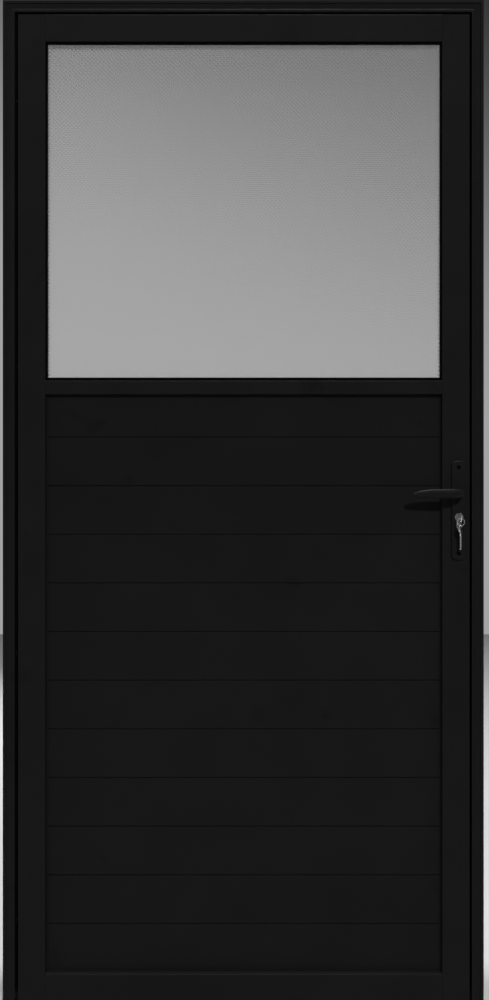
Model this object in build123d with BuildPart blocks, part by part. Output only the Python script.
from build123d import *
import math
import os

os.makedirs("parts", exist_ok=True)

# A hinged aluminium door in its frame. X runs along the width, hinges at low X, Y from the outside
# into the room and Z up. The origin lies under the middle of the threshold, halfway through the frame.

# Outer frame: mitred jambs and head, threshold between the jamb feet
frame_width = 1000.0
frame_height = 2100.0
frame_depth = 40.0
frame_face = 24.5
frame_wall = 1.8
lip_width = 6.0
groove_width = 2.0
groove_depth = 2.0
band_depth = 1.2
inner_bead_width = 5.0
inner_bead_slope = 1.5
arris_radius = 0.8
leaf_arris_radius = 1.4
threshold_height = 12.0
threshold_web_thickness = 2.0
cleat_leg = 60.0
cleat_depth = 14.0
cleat_clearance = 0.2

# Fixing holes: screws pass the outer wall, their heads the inner wall
fixing_radius = 3.75
fixing_head_radius = 6.0
fixing_low_height = 180.0
fixing_top_drop = 200.0
fixing_spacing = 560.0
floor_fixing_radius = 3.0
floor_fixing_head_radius = 5.5
floor_fixing_spacing = 600.0
floor_fixing_setback = 10.0

# Leaf: gaps to the frame, stiles and rails
hinge_gap = 7.0
lock_gap = 4.6
head_gap = 5.2
sill_gap = 5.4
seal_gap = 3.0
leaf_wall = 1.8
stile_face = 57.0
top_rail_face = 56.5
bottom_rail_face = 56.5
mid_rail_face = 28.4
mid_rail_height = 1294.5
leg_height = 12.0
mid_leg_height = 10.0
leg_thickness = 2.2
block_length = 45.0
block_clearance = 0.2

# Cover strips on the room side, closing gaskets and bottom seal
strip_thickness = 4.0
strip_overlap = 6.0
hinge_strip_land = 20.0
lock_strip_land = 8.0
head_strip_land = 20.0
closing_gasket_width = 4.0
closing_gasket_clearance = 0.4
bottom_seal_thickness = 3.0
bottom_seal_clearance = 0.4

# Glazing
glass_thickness = 4.0
glass_cover = 8.0
gasket_thickness = 3.5
back_gasket_thickness = 3.0
gasket_reveal = 4.5
gasket_bevel = 1.5
bead_wall = 1.4

# Slat panel
slat_count = 12
slat_thickness = 12.0
slat_wall = 1.4
slat_bevel = 1.5
joint_gap = 0.4
tongue_thickness = 4.0
tongue_height = 7.0
tongue_clearance = 0.3
top_joint_drop = 87.8
lowest_joint_rise = 99.4
channel_wall = 1.5
channel_reveal = 2.8
ledge_wall = 1.5
channel_clearance = 0.3
slat_end_clearance = 1.5

# Hinges, on the room side
hinge_height = 90.0
hinge_end_rise = 212.6
hinge_end_drop = 200.3
knuckle_radius = 7.0
knuckle_gap = 0.4
knuckle_clearance = 1.0
hinge_plate_thickness = 3.0
hinge_plate_margin = 1.0
frame_plate_height = 132.0
hinge_pin_radius = 4.0
hinge_pin_fit = 0.05
hinge_pin_cap_radius = 5.5
hinge_pin_cap_height = 2.0
hinge_screw_radius = 2.1
hinge_screw_head_radius = 4.0
hinge_screw_head_height = 2.1
hinge_screw_length = 9.0
hinge_screw_rise = 30.0
frame_screw_rise = 57.0
leaf_screw_inset = 12.0
frame_screw_inset = 5.5

# Lock, measured from the leaf's lock edge and from the lever's height above the floor
backset = 24.0
lever_height = 1073.5
key_drop = 49.0
face_plate_width = 18.0
face_plate_thickness = 2.0
face_plate_drop = 111.5
face_plate_length = 182.0
case_thickness = 15.0
case_wall = 1.5
case_back = 17.0
case_margin = 20.0
bolt_clearance = 0.35
bolt_thickness = 10.0
latch_tall = 16.0
latch_rise = 28.0
latch_throw = 11.0
latch_tail = 12.0
latch_nose = 3.0
dead_bolt_tall = 18.0
dead_bolt_drop = 25.5
dead_bolt_tail = 20.0
strike_thickness = 1.2
strike_width = 20.0
strike_margin = 22.0
strike_clearance = 1.5
lock_screw_radius = 1.9
lock_screw_head_radius = 3.6
lock_screw_head_height = 0.6
lock_screw_length = 9.0
lock_screw_inset = 6.0

# Handle plates, levers and spindle
plate_width = 29.0
plate_drop = 137.7
plate_length = 206.0
plate_thickness = 7.0
plate_end_radius = 10.0
plate_edge_radius = 2.5
plate_screw_radius = 2.0
plate_screw_head_radius = 3.8
plate_screw_head_height = 2.0
plate_screw_sink = 1.2
plate_screw_clearance = 0.4
plate_screw_inset = 13.5
plate_screw_length = 14.0
neck_radius = 8.5
neck_fit = 0.06
neck_seat = 5.0
collar_length = 2.0
neck_waist_radius = 7.6
neck_length = 22.0
elbow_radius = 20.0
grip_length = 81.5
grip_taper_length = 38.0
grip_depth_radius = 6.0
grip_height_radius = 9.8
grip_taper_depth_radius = 5.7
grip_taper_height_radius = 9.3
grip_nose_length = 12.0
grip_nose_depth_radius = 4.8
grip_nose_height_radius = 7.0
grip_nose_drop = 1.2
grip_tip_depth_radius = 2.6
grip_tip_height_radius = 3.2
grip_tip_drop = 2.8
grip_tip_radius = 1.7
spindle_width = 8.0
socket_depth = 16.0
follower_radius = 9.5
follower_thickness = 11.0
spindle_hole_radius = 6.2

# Profile cylinder, keys and ring
cylinder_radius = 8.5
cylinder_tail_width = 10.0
cylinder_height = 33.0
cylinder_projection = 1.5
cylinder_clearance = 0.3
plug_radius = 6.5
plug_fit = 0.05
cam_width = 10.0
cam_clearance = 0.4
cam_reach = 13.0
cam_tip_radius = 3.0
cam_gap_drop = 14.5
key_thickness = 2.3
bow_length = 20.0
bow_width = 24.0
bow_hole_radius = 2.8
bow_hole_rise = 5.5
key_neck_length = 3.0
key_neck_width = 9.0
blade_width = 7.6
blade_length = 29.0
blade_cut_depth = 2.2
blade_cut_pitch = 4.0
blade_cut_count = 6
keyway_clearance = 0.15
ring_radius = 7.5
ring_wire_radius = 0.9
ring_rest_gap = 0.12
spare_rest_gap = 0.3
spare_turn_degrees = 60.0

overrun = 1.0

# Derived positions
half_width = frame_width / 2
half_depth = frame_depth / 2
jamb_inner = half_width - frame_face
head_under = frame_height - frame_face
cavity_front = groove_depth + frame_wall
leaf_depth = frame_depth + seal_gap
leaf_front = -half_depth
leaf_back = half_depth + seal_gap
leaf_middle = (leaf_front + leaf_back) / 2
leaf_left = -jamb_inner + hinge_gap
leaf_right = jamb_inner - lock_gap
leaf_bottom = threshold_height + sill_gap
leaf_top = head_under - head_gap
leaf_height = leaf_top - leaf_bottom
stile_tube = stile_face - leg_height
rail_left = leaf_left + stile_tube
rail_right = leaf_right - stile_tube
sight_left = leaf_left + stile_face
sight_right = leaf_right - stile_face
rail_length = rail_right - rail_left
sight_width = sight_right - sight_left
sight_middle = (sight_left + sight_right) / 2
glass_head = leaf_top - top_rail_face
glass_foot = mid_rail_height + mid_rail_face / 2
panel_head = mid_rail_height - mid_rail_face / 2
panel_foot = leaf_bottom + bottom_rail_face
strip_left = -jamb_inner - strip_overlap
strip_right = jamb_inner + strip_overlap
strip_top = head_under + strip_overlap
strip_shoulder = leaf_top - head_strip_land
strip_back = leaf_back + strip_thickness
gasket_middle = jamb_inner + strip_overlap / 2
lock_axis = leaf_right - backset
key_height = lever_height - key_drop
face_plate_foot = lever_height - face_plate_drop
plate_foot = lever_height - plate_drop
face_plate_front = leaf_right + face_plate_thickness
latch_height = lever_height + latch_rise
dead_bolt_height = lever_height - dead_bolt_drop
plate_front = leaf_front - plate_thickness
case_depth = backset + case_back
case_middle = face_plate_foot + face_plate_length / 2
case_height = face_plate_length - 2 * case_margin
face_plate_head = face_plate_foot + face_plate_length
face_screw_heights = (face_plate_foot + lock_screw_inset, face_plate_head - lock_screw_inset)
plate_screw_heights = (plate_foot + plate_screw_inset, plate_foot + plate_length - plate_screw_inset)
strike_foot = dead_bolt_height - strike_margin
strike_head = latch_height + strike_margin
strike_screw_heights = (strike_foot + lock_screw_inset, strike_head - lock_screw_inset)
low_hinge = leaf_bottom + hinge_end_rise
top_hinge = leaf_top - hinge_end_drop
hinge_heights = (low_hinge, (low_hinge + top_hinge) / 2, top_hinge)
leaf_screw_rises = (-hinge_screw_rise, hinge_screw_rise)
frame_screw_rises = (-frame_screw_rise, frame_screw_rise)
leaf_screw_heights = [middle + rise for middle in hinge_heights for rise in leaf_screw_rises]
frame_screw_heights = [middle + rise for middle in hinge_heights for rise in frame_screw_rises]
leaf_screw_x = leaf_left + leaf_screw_inset
frame_screw_x = -half_width + frame_screw_inset
bolt_places = ((latch_height, latch_tall), (dead_bolt_height, dead_bolt_tall))
hinge_axis_x = strip_left - knuckle_clearance - knuckle_radius
hinge_axis_y = half_depth + knuckle_clearance + knuckle_radius


def save(piece, label):
    """Name a finished piece and write its file."""
    piece.part.label = label
    export_step(piece.part, f"parts/{label}.step")


# Turns that lay a round hole along the width or through the depth
along_width = (0, 90, 0)
through_depth = (90, 0, 0)


def drill(places, radius, length, turn):
    """Cut a round hole at each place, its axis turned from the upright."""
    with Locations(*places):
        Cylinder(radius, length, rotation=turn, mode=Mode.SUBTRACT)


# Jambs: a moulded front, one hollow chamber, the upper end mitred
frame_outline = (
    (0, 0),
    (lip_width, 0),
    (lip_width, groove_depth),
    (lip_width + groove_width, groove_depth),
    (lip_width + groove_width, band_depth),
    (frame_face - inner_bead_width - inner_bead_slope, band_depth),
    (frame_face - inner_bead_width, 0),
    (frame_face, 0),
    (frame_face, frame_depth),
    (0, frame_depth),
)
frame_chamber = (
    (frame_wall, cavity_front),
    (frame_face - frame_wall, cavity_front),
    (frame_face - frame_wall, frame_depth - frame_wall),
    (frame_wall, frame_depth - frame_wall),
)
fixing_top_height = frame_height - fixing_top_drop
lower_pair = (fixing_low_height, fixing_low_height + fixing_spacing)
upper_pair = (fixing_top_height - fixing_spacing, fixing_top_height)
fixing_heights = lower_pair + upper_pair


def build_jamb(side):
    """Return the jamb on one side, -1 for the hinges and 1 for the lock."""
    with BuildPart() as jamb:
        with BuildSketch():
            with BuildLine():
                Polyline(*[(side * (half_width - a), b - half_depth) for a, b in frame_outline], close=True)
            make_face()
            with BuildLine():
                Polyline(*[(side * (half_width - a), b - half_depth) for a, b in frame_chamber], close=True)
            make_face(mode=Mode.SUBTRACT)
        extrude(amount=frame_height)
        mitre = Plane(origin=(side * half_width, 0, frame_height), z_dir=(-side, 0, 1))
        split(bisect_by=mitre, keep=Keep.BOTTOM)
        through_wall = 2 * (frame_wall + overrun)
        outer_places = [(side * half_width, 0, height) for height in fixing_heights]
        drill(outer_places, fixing_radius, through_wall, along_width)
        inner_places = [(side * jamb_inner, 0, height) for height in fixing_heights]
        drill(inner_places, fixing_head_radius, through_wall, along_width)
        if side > 0:
            for height, tall in bolt_places:
                with Locations((jamb_inner, leaf_middle, height)):
                    Box(
                        through_wall,
                        bolt_thickness + 2 * strike_clearance,
                        tall + 2 * strike_clearance,
                        mode=Mode.SUBTRACT,
                    )
            strike_places = [(jamb_inner, leaf_middle, height) for height in strike_screw_heights]
            drill(strike_places, lock_screw_radius, through_wall, along_width)
        else:
            hinge_places = [(frame_screw_x, half_depth, height) for height in frame_screw_heights]
            drill(hinge_places, hinge_screw_radius, through_wall, through_depth)
    return jamb


save(build_jamb(-1), "hinge_jamb")
save(build_jamb(1), "lock_jamb")

# Head: the same section laid across, mitred at both ends
with BuildPart() as frame_head:
    with BuildSketch(Plane.YZ.offset(-half_width)):
        with BuildLine():
            Polyline(*[(b - half_depth, frame_height - a) for a, b in frame_outline], close=True)
        make_face()
        with BuildLine():
            Polyline(*[(b - half_depth, frame_height - a) for a, b in frame_chamber], close=True)
        make_face(mode=Mode.SUBTRACT)
    extrude(amount=frame_width)
    for side in (-1, 1):
        mitre = Plane(origin=(side * half_width, 0, frame_height), z_dir=(-side, 0, 1))
        split(bisect_by=mitre, keep=Keep.TOP)
save(frame_head, "frame_head")

# Threshold: a low hollow bar with a middle web, screwed to the floor
with BuildPart() as threshold:
    with BuildSketch(Plane.YZ.offset(-jamb_inner)) as threshold_section:
        with Locations((0, threshold_height / 2)):
            Rectangle(frame_depth, threshold_height)
        fillet(threshold_section.vertices().group_by(Axis.Y)[-1], arris_radius)
        chamber_width = (frame_depth - 2 * frame_wall - threshold_web_thickness) / 2
        chamber_offset = (chamber_width + threshold_web_thickness) / 2
        with Locations((-chamber_offset, threshold_height / 2), (chamber_offset, threshold_height / 2)):
            Rectangle(chamber_width, threshold_height - 2 * frame_wall, mode=Mode.SUBTRACT)
    extrude(amount=2 * jamb_inner)
    for reach in (-floor_fixing_spacing / 2, floor_fixing_spacing / 2):
        with Locations((reach, -floor_fixing_setback, 0)):
            Cylinder(floor_fixing_radius, 2 * (frame_wall + overrun), mode=Mode.SUBTRACT)
        with Locations((reach, -floor_fixing_setback, threshold_height)):
            Cylinder(floor_fixing_head_radius, 2 * (frame_wall + overrun), mode=Mode.SUBTRACT)
save(threshold, "threshold")

# Corner cleats: an L in each mitred corner, against the chamber's front wall
cleat_near = frame_wall + cleat_clearance
cleat_far = frame_face - frame_wall - cleat_clearance
cleat_outline = (
    (cleat_near, cleat_near),
    (cleat_leg, cleat_near),
    (cleat_leg, cleat_far),
    (cleat_far, cleat_far),
    (cleat_far, cleat_leg),
    (cleat_near, cleat_leg),
)
with BuildPart() as corner_cleats:
    for side in (-1, 1):
        with BuildSketch(Plane.XZ.offset(half_depth - cavity_front)):
            with BuildLine():
                corners = [(side * (half_width - a), frame_height - b) for a, b in cleat_outline]
                Polyline(*corners, close=True)
            make_face()
    extrude(amount=-cleat_depth)
save(corner_cleats, "corner_cleats")

# Closing gaskets: soft strips on the frame's room side, under the laps of the cover strips
gasket_height = seal_gap - closing_gasket_clearance
with BuildPart() as closing_gaskets:
    for side in (-1, 1):
        with BuildSketch() as strip_section:
            with Locations((side * gasket_middle, half_depth + gasket_height / 2)):
                Rectangle(closing_gasket_width, gasket_height)
            fillet(strip_section.vertices().group_by(Axis.Y)[-1], arris_radius)
        extrude(amount=head_under)
    with BuildSketch(Plane.YZ.offset(-jamb_inner)) as head_strip_section:
        with Locations((half_depth + gasket_height / 2, head_under + strip_overlap / 2)):
            Rectangle(gasket_height, closing_gasket_width)
        fillet(head_strip_section.vertices().group_by(Axis.X)[-1], arris_radius)
    extrude(amount=2 * jamb_inner)
save(closing_gaskets, "closing_gaskets")

# Stiles: one hollow tube each, with the glazing leg along the front
stile_outline = (
    (0, 0),
    (stile_face, 0),
    (stile_face, leg_thickness),
    (stile_tube, leg_thickness),
    (stile_tube, leaf_depth),
    (0, leaf_depth),
)


def profile_hole(clearance, length):
    """Cut the shape of the lock cylinder through walls, around its middle."""
    tail_drop = cylinder_height - cylinder_radius - cylinder_tail_width / 2
    drill([(lock_axis, leaf_middle, key_height)], cylinder_radius + clearance, length, through_depth)
    with Locations((lock_axis, leaf_middle, key_height - tail_drop / 2)):
        Box(cylinder_tail_width + 2 * clearance, length, tail_drop, mode=Mode.SUBTRACT)
    tail_radius = cylinder_tail_width / 2 + clearance
    drill([(lock_axis, leaf_middle, key_height - tail_drop)], tail_radius, length, through_depth)


def build_stile(side, edge):
    """Return the stile on one side, its outer edge at the given X."""
    with BuildPart() as stile:
        with BuildSketch(Plane.XY.offset(leaf_bottom)) as section:
            with BuildLine():
                Polyline(*[(edge - side * a, leaf_front + b) for a, b in stile_outline], close=True)
            make_face()
            fillet(section.vertices().group_by(Axis.Y)[0], leaf_arris_radius)
            with Locations((edge - side * stile_tube / 2, leaf_middle)):
                Rectangle(stile_tube - 2 * leaf_wall, leaf_depth - 2 * leaf_wall, mode=Mode.SUBTRACT)
        extrude(amount=leaf_height)
        if side > 0:
            with Locations((edge, leaf_middle, case_middle)):
                Box(
                    2 * (leaf_wall + overrun),
                    case_thickness + 2 * bolt_clearance,
                    case_height + 2 * bolt_clearance,
                    mode=Mode.SUBTRACT,
                )
            through_leaf = leaf_depth + 2 * overrun
            drill([(lock_axis, leaf_middle, lever_height)], neck_radius, through_leaf, through_depth)
            profile_hole(cylinder_clearance, through_leaf)
            plate_places = [(lock_axis, leaf_middle, height) for height in plate_screw_heights]
            drill(plate_places, plate_screw_radius, through_leaf, through_depth)
            edge_places = [(edge, leaf_middle, height) for height in face_screw_heights]
            drill(edge_places, lock_screw_radius, 2 * (leaf_wall + overrun), along_width)
        else:
            hinge_places = [(leaf_screw_x, leaf_back, height) for height in leaf_screw_heights]
            drill(hinge_places, hinge_screw_radius, 2 * (leaf_wall + overrun), through_depth)
    return stile


save(build_stile(-1, leaf_left), "hinge_stile")
save(build_stile(1, leaf_right), "lock_stile")

# Slat heights: the joints are spread evenly between the lowest and the highest
lowest_joint = panel_foot + lowest_joint_rise
top_joint = panel_head - top_joint_drop
slat_pitch = (top_joint - lowest_joint) / (slat_count - 2)
channel_slot = slat_thickness + 2 * channel_clearance
channel_width = channel_slot + 2 * channel_wall
top_rail_tube = top_rail_face - leg_height
bottom_rail_tube = bottom_rail_face - leg_height
mid_rail_tube = mid_rail_face - 2 * mid_leg_height
bottom_groove_depth = leg_height + channel_reveal
mid_groove_depth = mid_leg_height + channel_reveal
ledge_front = leaf_front + leg_thickness
ledge_depth = leaf_middle - channel_width / 2 - ledge_front
ledge_middle = ledge_front + ledge_depth / 2


def cope_ends():
    """Notch both front ends of a rail round the glazing legs of the stiles."""
    for middle in ((rail_left + sight_left) / 2, (rail_right + sight_right) / 2):
        with Locations((middle, leaf_front, mid_rail_height)):
            Box(leg_height, 2 * leg_thickness, frame_height * 2, mode=Mode.SUBTRACT)


def rail_tube(height, tall):
    """Draw the hollow of a rail, its middle at the given height."""
    with Locations((leaf_middle, height)):
        Rectangle(leaf_depth - 2 * leaf_wall, tall - 2 * leaf_wall, mode=Mode.SUBTRACT)


# Top rail: tube above, glazing leg below
with BuildPart() as top_rail:
    with BuildSketch(Plane.YZ.offset(rail_left)) as top_section:
        with Locations((leaf_middle, leaf_top - top_rail_tube / 2)):
            Rectangle(leaf_depth, top_rail_tube)
        with Locations((leaf_front + leg_thickness / 2, leaf_top - top_rail_face / 2)):
            Rectangle(leg_thickness, top_rail_face)
        fillet(top_section.vertices().group_by(Axis.X)[0], leaf_arris_radius)
        rail_tube(leaf_top - top_rail_tube / 2, top_rail_tube)
    extrude(amount=rail_length)
    cope_ends()
save(top_rail, "top_rail")

# Middle rail: slim tube, legs up and down, a ledge and a groove below for the top slat
with BuildPart() as mid_rail:
    with BuildSketch(Plane.YZ.offset(rail_left)) as mid_section:
        with Locations((leaf_middle, mid_rail_height)):
            Rectangle(leaf_depth, mid_rail_tube)
        with Locations((leaf_front + leg_thickness / 2, mid_rail_height)):
            Rectangle(leg_thickness, mid_rail_face)
        fillet(mid_section.vertices().group_by(Axis.X)[0], leaf_arris_radius)
        with Locations((leaf_middle, mid_rail_height - (mid_rail_tube + mid_groove_depth) / 2)):
            Rectangle(channel_width, mid_groove_depth)
            Rectangle(channel_slot, mid_groove_depth, mode=Mode.SUBTRACT)
        with Locations((ledge_middle, panel_head + ledge_wall / 2)):
            Rectangle(ledge_depth, ledge_wall)
        rail_tube(mid_rail_height, mid_rail_tube)
    extrude(amount=rail_length)
    cope_ends()
save(mid_rail, "mid_rail")

# Bottom rail: tube below, leg above, a ledge and a groove above for the lowest slat
with BuildPart() as bottom_rail:
    with BuildSketch(Plane.YZ.offset(rail_left)) as bottom_section:
        with Locations((leaf_middle, leaf_bottom + bottom_rail_tube / 2)):
            Rectangle(leaf_depth, bottom_rail_tube)
        with Locations((leaf_front + leg_thickness / 2, leaf_bottom + bottom_rail_face / 2)):
            Rectangle(leg_thickness, bottom_rail_face)
        fillet(bottom_section.vertices().group_by(Axis.X)[0], leaf_arris_radius)
        with Locations((leaf_middle, leaf_bottom + bottom_rail_tube + bottom_groove_depth / 2)):
            Rectangle(channel_width, bottom_groove_depth)
            Rectangle(channel_slot, bottom_groove_depth, mode=Mode.SUBTRACT)
        with Locations((ledge_middle, panel_foot - ledge_wall / 2)):
            Rectangle(ledge_depth, ledge_wall)
        rail_tube(leaf_bottom + bottom_rail_tube / 2, bottom_rail_tube)
    extrude(amount=rail_length)
    cope_ends()
save(bottom_rail, "bottom_rail")

# Joint blocks: one in each rail end, standing against the stile
rail_chambers = (
    (leaf_top - top_rail_tube / 2, top_rail_tube),
    (mid_rail_height, mid_rail_tube),
    (leaf_bottom + bottom_rail_tube / 2, bottom_rail_tube),
)
block_front = leaf_front + leg_thickness + block_clearance
block_back = leaf_back - leaf_wall - block_clearance
with BuildPart() as joint_blocks:
    for end in (rail_left + block_length / 2, rail_right - block_length / 2):
        for height, tall in rail_chambers:
            with Locations((end, (block_front + block_back) / 2, height)):
                Box(block_length, block_back - block_front, tall - 2 * (leaf_wall + block_clearance))
save(joint_blocks, "joint_blocks")

# Glass and its two gaskets
glass_front = leaf_front + leg_thickness + gasket_thickness
glass_back = glass_front + glass_thickness
bead_front = glass_back + back_gasket_thickness
glass_middle = (glass_foot + glass_head) / 2
glass_width = sight_width + 2 * glass_cover
glass_tall = glass_head - glass_foot + 2 * glass_cover
with BuildPart() as glass_pane:
    with Locations((sight_middle, (glass_front + glass_back) / 2, glass_middle)):
        Box(glass_width, glass_thickness, glass_tall)
save(glass_pane, "glass_pane")

gasket_seats = ((glass_front, gasket_thickness), (glass_back, -back_gasket_thickness))
with BuildPart() as glazing_gaskets:
    for face, outward in gasket_seats:
        with BuildSketch(Plane.XZ.offset(-face)):
            with Locations((sight_middle, glass_middle)):
                Rectangle(glass_width, glass_tall)
                Rectangle(
                    sight_width - 2 * gasket_reveal,
                    glass_head - glass_foot - 2 * gasket_reveal,
                    mode=Mode.SUBTRACT,
                )
        extrude(amount=outward)
    sight_edges = glazing_gaskets.edges().filter_by(Axis.X) + glazing_gaskets.edges().filter_by(Axis.Z)
    outer_faces = (glass_front - gasket_thickness, glass_back + back_gasket_thickness)
    visible_edges = [
        edge
        for edge in sight_edges
        if min(abs(edge.center().Y - face) for face in outer_faces) < gasket_bevel / 2
        and abs(edge.center().X - sight_middle) < sight_width / 2
        and abs(edge.center().Z - glass_middle) < (glass_head - glass_foot) / 2
    ]
    chamfer(visible_edges, gasket_bevel)
save(glazing_gaskets, "glazing_gaskets")

# Glazing beads: hollow strips snapped in behind the glass, the upright pair between the level pair
bead_depth = leaf_back - bead_front
bead_middle = (leaf_back + bead_front) / 2
level_beads = (
    ("glass_bead_top", glass_head + leg_height / 2, leg_height),
    ("glass_bead_bottom", glass_foot - mid_leg_height / 2, mid_leg_height),
)
for label, height, tall in level_beads:
    with BuildPart() as level_bead:
        with BuildSketch(Plane.YZ.offset(rail_left)) as level_section:
            with Locations((bead_middle, height)):
                Rectangle(bead_depth, tall)
                fillet(level_section.vertices().group_by(Axis.X)[-1], arris_radius)
                Rectangle(bead_depth - 2 * bead_wall, tall - 2 * bead_wall, mode=Mode.SUBTRACT)
        extrude(amount=rail_length)
    save(level_bead, label)
upright_beads = (
    ("glass_bead_hinge_side", sight_left - leg_height / 2),
    ("glass_bead_lock_side", sight_right + leg_height / 2),
)
for label, place in upright_beads:
    with BuildPart() as upright_bead:
        with BuildSketch(Plane.XY.offset(glass_foot)) as upright_section:
            with Locations((place, bead_middle)):
                Rectangle(leg_height, bead_depth)
                fillet(upright_section.vertices().group_by(Axis.Y)[-1], arris_radius)
                Rectangle(leg_height - 2 * bead_wall, bead_depth - 2 * bead_wall, mode=Mode.SUBTRACT)
        extrude(amount=glass_head - glass_foot)
    save(upright_bead, label)

# Channels: a U on each stile for the slat ends, with the ledge that closes the recess at the side
channel_foot = panel_foot + channel_reveal
channel_head = panel_head - channel_reveal
channel_leg = leg_height + channel_reveal
channels = (("panel_channel_hinge_side", 1, rail_left), ("panel_channel_lock_side", -1, rail_right))
for label, side, base in channels:
    with BuildPart() as panel_channel:
        with BuildSketch(Plane.XY.offset(channel_foot)):
            with Locations((base + side * channel_leg / 2, leaf_middle)):
                Rectangle(channel_leg, channel_width)
            with Locations((base + side * (channel_leg + channel_wall) / 2, leaf_middle)):
                Rectangle(channel_leg - channel_wall, channel_slot, mode=Mode.SUBTRACT)
        extrude(amount=channel_head - channel_foot)
        with BuildSketch(Plane.XY.offset(panel_foot)):
            with Locations((base + side * (leg_height - ledge_wall / 2), ledge_middle)):
                Rectangle(ledge_wall, ledge_depth)
        extrude(amount=panel_head - panel_foot)
    save(panel_channel, label)

# Slats: hollow boards, tongue up into the groove of the next, bevelled along every joint
slat_left = rail_left + channel_wall + slat_end_clearance
slat_right = rail_right - channel_wall - slat_end_clearance
slat_groove_width = tongue_thickness + 2 * tongue_clearance
slat_groove_depth = tongue_height + tongue_clearance
board_foot = leaf_bottom + bottom_rail_tube + slat_end_clearance
board_head = mid_rail_height - mid_rail_tube / 2 - slat_end_clearance
joints = [lowest_joint + step * slat_pitch for step in range(slat_count - 1)]
slat_feet = [board_foot] + [joint + joint_gap / 2 for joint in joints]
slat_heads = [joint - joint_gap / 2 for joint in joints] + [board_head]


def build_slat(number):
    """Return one board, counted from the bottom."""
    foot = slat_feet[number]
    head = slat_heads[number]
    lowest = number == 0
    highest = number == slat_count - 1
    with BuildPart() as slat:
        with BuildSketch(Plane.YZ.offset(slat_left)) as section:
            with Locations((leaf_middle, (foot + head) / 2)):
                Rectangle(slat_thickness, head - foot)
            if not lowest:
                chamfer(section.vertices().group_by(Axis.Y)[0], slat_bevel)
            if not highest:
                chamfer(section.vertices().group_by(Axis.Y)[-1], slat_bevel)
            chamber_foot = foot + slat_wall
            chamber_head = head - slat_wall
            if not highest:
                with Locations((leaf_middle, head + tongue_height / 2)):
                    Rectangle(tongue_thickness, tongue_height)
                chamber_head = head - slat_wall - slat_bevel
            if not lowest:
                with Locations((leaf_middle, foot + slat_groove_depth / 2)):
                    Rectangle(slat_groove_width, slat_groove_depth, mode=Mode.SUBTRACT)
                chamber_foot = foot + slat_groove_depth + slat_wall
            chamber_height = (chamber_head - chamber_foot - slat_wall) / 2
            for middle in (chamber_foot + chamber_height / 2, chamber_head - chamber_height / 2):
                with Locations((leaf_middle, middle)):
                    Rectangle(slat_thickness - 2 * slat_wall, chamber_height, mode=Mode.SUBTRACT)
        extrude(amount=slat_right - slat_left)
    return slat


for number in range(slat_count):
    save(build_slat(number), f"slat_{number + 1:02d}")

# Cover strips: flat bars on the leaf's back that lap over the frame
side_strips = (
    ("cover_strip_hinge_side", strip_left, leaf_left + hinge_strip_land),
    ("cover_strip_lock_side", leaf_right - lock_strip_land, strip_right),
)
for label, start, end in side_strips:
    with BuildPart() as side_strip:
        with BuildSketch(Plane.XY.offset(leaf_bottom)) as strip_outline:
            with Locations(((start + end) / 2, leaf_back + strip_thickness / 2)):
                Rectangle(end - start, strip_thickness)
            fillet(strip_outline.vertices().group_by(Axis.Y)[-1], arris_radius)
        extrude(amount=strip_shoulder - leaf_bottom)
        if start == strip_left:
            hinge_places = [(leaf_screw_x, strip_back, height) for height in leaf_screw_heights]
            drill(hinge_places, hinge_screw_radius, 2 * (strip_thickness + overrun), through_depth)
    save(side_strip, label)
with BuildPart() as head_strip:
    with BuildSketch(Plane.YZ.offset(strip_left)) as head_strip_outline:
        with Locations((leaf_back + strip_thickness / 2, (strip_shoulder + strip_top) / 2)):
            Rectangle(strip_thickness, strip_top - strip_shoulder)
        fillet(head_strip_outline.vertices().group_by(Axis.X)[-1], arris_radius)
    extrude(amount=strip_right - strip_left)
save(head_strip, "cover_strip_head")

# Bottom seal: a fin under the leaf, just clear of the threshold
seal_foot = threshold_height + bottom_seal_clearance
with BuildPart() as bottom_seal:
    with BuildSketch(Plane.YZ.offset(leaf_left)) as seal_section:
        with Locations((0, (seal_foot + leaf_bottom) / 2)):
            Rectangle(bottom_seal_thickness, leaf_bottom - seal_foot)
        fillet(seal_section.vertices().group_by(Axis.Y)[0], arris_radius)
    extrude(amount=leaf_right - leaf_left)
save(bottom_seal, "bottom_seal")

# Hinges: the frame half carries the middle knuckle, the leaf half the outer two
knuckle_third = hinge_height / 3
barrel_relief = knuckle_third + 2 * knuckle_gap + hinge_pin_cap_height
frame_plate_left = -half_width + hinge_plate_margin
leaf_plate_right = leaf_left + hinge_strip_land - hinge_plate_margin
frame_plate_back = half_depth + hinge_plate_thickness
leaf_plate_back = strip_back + hinge_plate_thickness


def build_frame_half(middle):
    """Return the half screwed to the jamb's back, one knuckle tall between its neighbours."""
    with BuildPart() as half:
        with BuildSketch(Plane.XY.offset(middle - frame_plate_height / 2)):
            with Locations(((frame_plate_left + hinge_axis_x) / 2, (half_depth + frame_plate_back) / 2)):
                Rectangle(hinge_axis_x - frame_plate_left, hinge_plate_thickness)
        extrude(amount=frame_plate_height)
        with Locations((hinge_axis_x, hinge_axis_y, middle)):
            Cylinder(knuckle_radius, knuckle_third - 2 * knuckle_gap)
        for ends in (-1, 1):
            relief_middle = middle + ends * (knuckle_third + barrel_relief) / 2
            with Locations((hinge_axis_x, hinge_axis_y, relief_middle)):
                Cylinder(knuckle_radius + knuckle_gap, barrel_relief, mode=Mode.SUBTRACT)
        with Locations((hinge_axis_x, hinge_axis_y, middle)):
            Cylinder(hinge_pin_radius, hinge_height, mode=Mode.SUBTRACT)
        places = [(frame_screw_x, frame_plate_back, middle + rise) for rise in frame_screw_rises]
        drill(places, hinge_screw_radius, 2 * (hinge_plate_thickness + overrun), through_depth)
    return half


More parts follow.
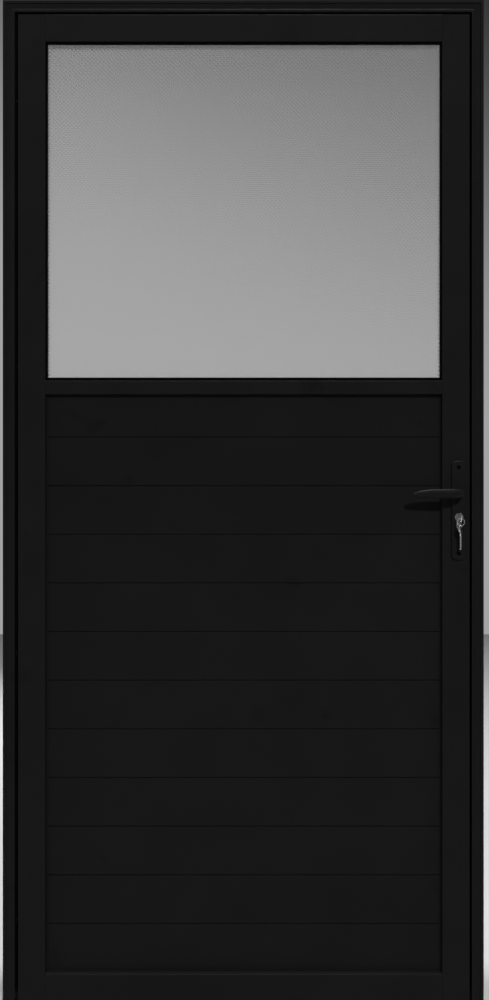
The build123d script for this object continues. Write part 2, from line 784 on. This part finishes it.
def build_leaf_half(middle):
    """Return the half screwed through the cover strip into the stile."""
    with BuildPart() as half:
        with BuildSketch(Plane.XY.offset(middle - hinge_height / 2)):
            with Locations(((leaf_plate_right + hinge_axis_x) / 2, (strip_back + leaf_plate_back) / 2)):
                Rectangle(leaf_plate_right - hinge_axis_x, hinge_plate_thickness)
        extrude(amount=hinge_height)
        for ends in (-1, 1):
            with Locations((hinge_axis_x, hinge_axis_y, middle + ends * knuckle_third)):
                Cylinder(knuckle_radius, knuckle_third)
        with Locations((hinge_axis_x, hinge_axis_y, middle)):
            Cylinder(knuckle_radius + knuckle_gap, knuckle_third, mode=Mode.SUBTRACT)
            Cylinder(hinge_pin_radius + hinge_pin_fit, hinge_height, mode=Mode.SUBTRACT)
        places = [(leaf_screw_x, leaf_plate_back, middle + rise) for rise in leaf_screw_rises]
        drill(places, hinge_screw_radius, 2 * (hinge_plate_thickness + overrun), through_depth)
    return half


for label, middle in zip(("bottom", "middle", "top"), hinge_heights):
    save(build_frame_half(middle), f"hinge_{label}_frame_half")
    save(build_leaf_half(middle), f"hinge_{label}_leaf_half")

# Hinge pins: held by the frame halves, a cap above and below
with BuildPart() as hinge_pins:
    for middle in hinge_heights:
        with Locations((hinge_axis_x, hinge_axis_y, middle)):
            Cylinder(hinge_pin_radius, hinge_height + 2 * knuckle_gap)
        for ends in (-1, 1):
            cap_middle = middle + ends * (hinge_height / 2 + knuckle_gap + hinge_pin_cap_height / 2)
            with Locations((hinge_axis_x, hinge_axis_y, cap_middle)):
                Cylinder(hinge_pin_cap_radius, hinge_pin_cap_height)
save(hinge_pins, "hinge_pins")


def screw(place, radius, head_radius, length, head_height, turn):
    """Add one screw, its head's underside at the place and its shank along the turned axis."""
    with Locations(Location(place, turn)):
        with Locations((0, 0, -length / 2)):
            Cylinder(radius, length)
        with Locations((0, 0, head_height / 2)):
            Cylinder(head_radius, head_height)


# Turns that point a screw's head into the room, out of the front, to the hinges and to the lock
head_to_room = (-90, 0, 0)
head_to_front = (90, 0, 0)
head_to_hinges = (0, -90, 0)
head_to_lock = (0, 90, 0)


def bolt_windows(clearance):
    """Cut the windows of the latch and the dead bolt in the outline of a plate."""
    for height, tall in bolt_places:
        with Locations((leaf_middle, height)):
            Rectangle(bolt_thickness + 2 * clearance, tall + 2 * clearance, mode=Mode.SUBTRACT)


# Strike plate on the lock jamb
with BuildPart() as strike_plate:
    with BuildSketch(Plane.YZ.offset(jamb_inner - strike_thickness)):
        with Locations((leaf_middle, (strike_foot + strike_head) / 2)):
            RectangleRounded(strike_width, strike_head - strike_foot, strike_clearance)
        bolt_windows(strike_clearance)
        with Locations(*[(leaf_middle, height) for height in strike_screw_heights]):
            Circle(lock_screw_radius, mode=Mode.SUBTRACT)
    extrude(amount=strike_thickness)
save(strike_plate, "strike_plate")

# Screws of the frame: hinge halves and strike plate
with BuildPart() as frame_screws:
    for height in frame_screw_heights:
        screw(
            (frame_screw_x, frame_plate_back, height),
            hinge_screw_radius,
            hinge_screw_head_radius,
            hinge_screw_length,
            hinge_screw_head_height,
            head_to_room,
        )
    for height in strike_screw_heights:
        screw(
            (jamb_inner - strike_thickness, leaf_middle, height),
            lock_screw_radius,
            lock_screw_head_radius,
            lock_screw_length,
            lock_screw_head_height,
            head_to_hinges,
        )
save(frame_screws, "frame_screws")

# Face plate on the leaf's edge
with BuildPart() as face_plate:
    with BuildSketch(Plane.YZ.offset(leaf_right)):
        with Locations((leaf_middle, case_middle)):
            RectangleRounded(face_plate_width, face_plate_length, strike_clearance)
        bolt_windows(bolt_clearance)
        with Locations(*[(leaf_middle, height) for height in face_screw_heights]):
            Circle(lock_screw_radius, mode=Mode.SUBTRACT)
    extrude(amount=face_plate_thickness)
save(face_plate, "lock_face_plate")

# Lock case: a thin box behind the face plate, open towards it
with BuildPart() as lock_case:
    with Locations((leaf_right - case_depth / 2, leaf_middle, case_middle)):
        Box(case_depth, case_thickness, case_height)
    with Locations((leaf_right - case_depth / 2 + case_wall, leaf_middle, case_middle)):
        Box(case_depth, case_thickness - 2 * case_wall, case_height - 2 * case_wall, mode=Mode.SUBTRACT)
    through_case = case_thickness + 2 * overrun
    drill([(lock_axis, leaf_middle, lever_height)], spindle_hole_radius, through_case, through_depth)
    profile_hole(cylinder_clearance, through_case)
save(lock_case, "lock_case")

# Latch bolt: its nose slopes on the side that meets the strike when the leaf closes
latch_front = face_plate_front + latch_throw
latch_side = leaf_middle - bolt_thickness / 2
with BuildPart() as latch_bolt:
    with BuildSketch(Plane.XY.offset(latch_height - latch_tall / 2)):
        with BuildLine():
            Polyline(
                (leaf_right - latch_tail, latch_side),
                (face_plate_front, latch_side),
                (latch_front, latch_side + bolt_thickness - latch_nose),
                (latch_front, latch_side + bolt_thickness),
                (leaf_right - latch_tail, latch_side + bolt_thickness),
                close=True,
            )
        make_face()
    extrude(amount=latch_tall)
save(latch_bolt, "latch_bolt")

# Dead bolt, drawn back flush with the face plate
with BuildPart() as dead_bolt:
    with Locations(((leaf_right - dead_bolt_tail + face_plate_front) / 2, leaf_middle, dead_bolt_height)):
        Box(face_plate_front - leaf_right + dead_bolt_tail, bolt_thickness, dead_bolt_tall)
save(dead_bolt, "dead_bolt")

# Handle plates: long narrow plates with rounded ends and soft front edges
across_leaf = Plane(origin=(0, leaf_middle, 0), z_dir=(0, 1, 0))
plate_screw_seat = plate_screw_head_height + plate_screw_sink
with BuildPart() as outer_plate:
    with BuildSketch(Plane.XZ.offset(half_depth)):
        with Locations((lock_axis, plate_foot + plate_length / 2)):
            RectangleRounded(plate_width, plate_length, plate_end_radius)
    extrude(amount=plate_thickness)
    fillet(outer_plate.faces().sort_by(Axis.Y)[0].edges(), plate_edge_radius)
    drill([(lock_axis, leaf_middle, lever_height)], neck_radius + neck_fit, 2 * leaf_depth, through_depth)
    profile_hole(cylinder_clearance, 2 * leaf_depth)
    screw_places = [(lock_axis, leaf_middle, height) for height in plate_screw_heights]
    drill(screw_places, plate_screw_radius, 2 * leaf_depth, through_depth)
    seat_places = [(lock_axis, plate_front, height) for height in plate_screw_heights]
    seat_radius = plate_screw_head_radius + plate_screw_clearance
    drill(seat_places, seat_radius, 2 * plate_screw_seat, through_depth)
save(outer_plate, "outer_plate")

with BuildPart() as inner_plate:
    mirror(outer_plate.part, about=across_leaf)
save(inner_plate, "inner_plate")

# Screws of the leaf: hinge halves, face plate and handle plates
outer_seat = plate_front + plate_screw_seat
inner_seat = leaf_back + plate_thickness - plate_screw_seat
with BuildPart() as leaf_screws:
    for height in leaf_screw_heights:
        screw(
            (leaf_screw_x, leaf_plate_back, height),
            hinge_screw_radius,
            hinge_screw_head_radius,
            hinge_screw_length,
            hinge_screw_head_height,
            head_to_room,
        )
    for height in face_screw_heights:
        screw(
            (face_plate_front, leaf_middle, height),
            lock_screw_radius,
            lock_screw_head_radius,
            lock_screw_length,
            lock_screw_head_height,
            head_to_lock,
        )
    for face, turn in ((outer_seat, head_to_front), (inner_seat, head_to_room)):
        for height in plate_screw_heights:
            screw(
                (lock_axis, face, height),
                plate_screw_radius,
                plate_screw_head_radius,
                plate_screw_length,
                plate_screw_head_height,
                turn,
            )
save(leaf_screws, "leaf_screws")

# Levers: a round neck that bends into an oval grip, thinning in three steps to a rounded, drooping tip
neck_foot = plate_front + neck_seat
elbow_start = plate_front - neck_length
grip_axis = elbow_start - elbow_radius
grip_start = lock_axis - elbow_radius
grip_sections = (
    (0, grip_depth_radius, grip_height_radius, 0),
    (grip_length - grip_taper_length, grip_taper_depth_radius, grip_taper_height_radius, 0),
    (grip_length - grip_nose_length, grip_nose_depth_radius, grip_nose_height_radius, grip_nose_drop),
    (grip_length, grip_tip_depth_radius, grip_tip_height_radius, grip_tip_drop),
)


def lever_plane(x, y, ahead_x, ahead_y):
    """Return the plane of a cross-section of the lever, facing along the lever."""
    return Plane(origin=(x, y, lever_height), x_dir=(-ahead_y, ahead_x, 0), z_dir=(ahead_x, ahead_y, 0))


with BuildPart() as outer_lever:
    with BuildSketch(lever_plane(lock_axis, plate_front - collar_length, 0, -1)):
        Circle(neck_radius)
    with BuildSketch(lever_plane(lock_axis, elbow_start, 0, -1)):
        Circle(neck_waist_radius)
    loft()
    with BuildLine():
        RadiusArc(
            (lock_axis, elbow_start, lever_height),
            (grip_start, grip_axis, lever_height),
            elbow_radius,
        )
    with BuildSketch(lever_plane(lock_axis, elbow_start, 0, -1)):
        Ellipse(neck_waist_radius, neck_waist_radius)
    with BuildSketch(lever_plane(grip_start, grip_axis, -1, 0)):
        Ellipse(grip_depth_radius, grip_height_radius)
    sweep(multisection=True)
    for ends in zip(grip_sections, grip_sections[1:]):
        for distance, depth_radius, height_radius, drop in ends:
            with BuildSketch(lever_plane(grip_start - distance, grip_axis, -1, 0)):
                with Locations((0, -drop)):
                    Ellipse(depth_radius, height_radius)
        loft()
    fillet(outer_lever.faces().sort_by(Axis.X)[0].edges(), grip_tip_radius)
    with BuildSketch(lever_plane(lock_axis, neck_foot, 0, -1)):
        Circle(neck_radius)
    extrude(amount=neck_foot - plate_front + collar_length)
    with Locations((lock_axis, neck_foot, lever_height)):
        Box(spindle_width, 2 * socket_depth, spindle_width, mode=Mode.SUBTRACT)
save(outer_lever, "outer_lever")

with BuildPart() as inner_lever:
    mirror(outer_lever.part, about=across_leaf)
save(inner_lever, "inner_lever")

# Spindle: a square bar between the sockets of the levers, with the follower pressed on in the lock case
spindle_length = 2 * (leaf_middle - neck_foot + socket_depth)
with BuildPart() as spindle:
    with Locations((lock_axis, leaf_middle, lever_height)):
        Box(spindle_width, spindle_length, spindle_width)
        Cylinder(follower_radius, follower_thickness, rotation=(90, 0, 0))
save(spindle, "spindle")

# Profile cylinder: round above, narrow tail below, cut in the middle for the cam
cylinder_front = plate_front - cylinder_projection
cylinder_length = 2 * (leaf_middle - cylinder_front)
tail_drop = cylinder_height - cylinder_radius - cylinder_tail_width / 2
with BuildPart() as cylinder_body:
    with BuildSketch(Plane.XZ.offset(-leaf_middle)):
        with Locations((lock_axis, key_height)):
            Circle(cylinder_radius)
        with Locations((lock_axis, key_height - tail_drop / 2)):
            Rectangle(cylinder_tail_width, tail_drop)
        with Locations((lock_axis, key_height - tail_drop)):
            Circle(cylinder_tail_width / 2)
        with Locations((lock_axis, key_height)):
            Circle(plug_radius + plug_fit, mode=Mode.SUBTRACT)
    extrude(amount=cylinder_length / 2, both=True)
    with Locations((lock_axis, leaf_middle, key_height - cam_gap_drop + cylinder_height / 2)):
        Box(cylinder_height, cam_width + 2 * cam_clearance, cylinder_height, mode=Mode.SUBTRACT)
save(cylinder_body, "cylinder_body")

# Plug: turns in the cylinder body, with the cam in the middle and the keyway in its front end
with BuildPart() as cylinder_plug:
    with Locations((lock_axis, leaf_middle, key_height)):
        Cylinder(plug_radius, cylinder_length, rotation=(90, 0, 0))
        Cylinder(cylinder_radius, cam_width, rotation=(90, 0, 0))
    with BuildSketch(Plane.XZ.offset(-leaf_middle)):
        with Locations((lock_axis, key_height - (cam_reach - cam_tip_radius) / 2)):
            Rectangle(2 * cam_tip_radius, cam_reach - cam_tip_radius)
        with Locations((lock_axis, key_height - cam_reach + cam_tip_radius)):
            Circle(cam_tip_radius)
    extrude(amount=cam_width / 2, both=True)
    with Locations((lock_axis, cylinder_front, key_height)):
        Box(
            key_thickness + 2 * keyway_clearance,
            2 * (blade_length + keyway_clearance),
            blade_width + 2 * keyway_clearance,
            mode=Mode.SUBTRACT,
        )
save(cylinder_plug, "cylinder_plug")

# Keys: an oval bow with a hole, a short neck and a blade cut along one edge
shoulder_drop = bow_length / 2 + key_neck_length


def build_key(plane):
    """Return a key lying on a plane, its bow round the origin and its blade along -Y."""
    with BuildPart() as key:
        with BuildSketch(plane):
            Ellipse(bow_width / 2, bow_length / 2)
            with Locations((0, -shoulder_drop / 2)):
                Rectangle(key_neck_width, shoulder_drop)
            with Locations((0, -shoulder_drop - blade_length / 2)):
                Rectangle(blade_width, blade_length)
            with Locations((0, bow_hole_rise)):
                Circle(bow_hole_radius, mode=Mode.SUBTRACT)
            for cut in range(blade_cut_count):
                with Locations((-blade_width / 2, -shoulder_drop - (cut + 1) * blade_cut_pitch)):
                    Rectangle(blade_cut_depth, blade_cut_depth, rotation=45, mode=Mode.SUBTRACT)
        extrude(amount=key_thickness / 2, both=True)
    return key


key_bow = cylinder_front - shoulder_drop
ring_y = key_bow - bow_hole_rise
ring_top = key_height - bow_hole_radius + ring_wire_radius + ring_rest_gap
ring_middle = ring_top - ring_radius
spare_hole = ring_middle - ring_radius + ring_wire_radius + spare_rest_gap - bow_hole_radius
spare_turn = math.radians(spare_turn_degrees)
key_plane = Plane(origin=(lock_axis, key_bow, key_height), x_dir=(0, 0, 1), z_dir=(1, 0, 0))
spare_plane = Plane(
    origin=(lock_axis, ring_y, spare_hole - bow_hole_rise),
    x_dir=(math.cos(spare_turn), math.sin(spare_turn), 0),
    z_dir=(math.sin(spare_turn), -math.cos(spare_turn), 0),
)
save(build_key(key_plane), "key")
save(build_key(spare_plane), "spare_key")

with BuildPart() as key_ring:
    with Locations((lock_axis, ring_y, ring_middle)):
        Torus(ring_radius, ring_wire_radius, rotation=(90, 0, 0))
save(key_ring, "key_ring")
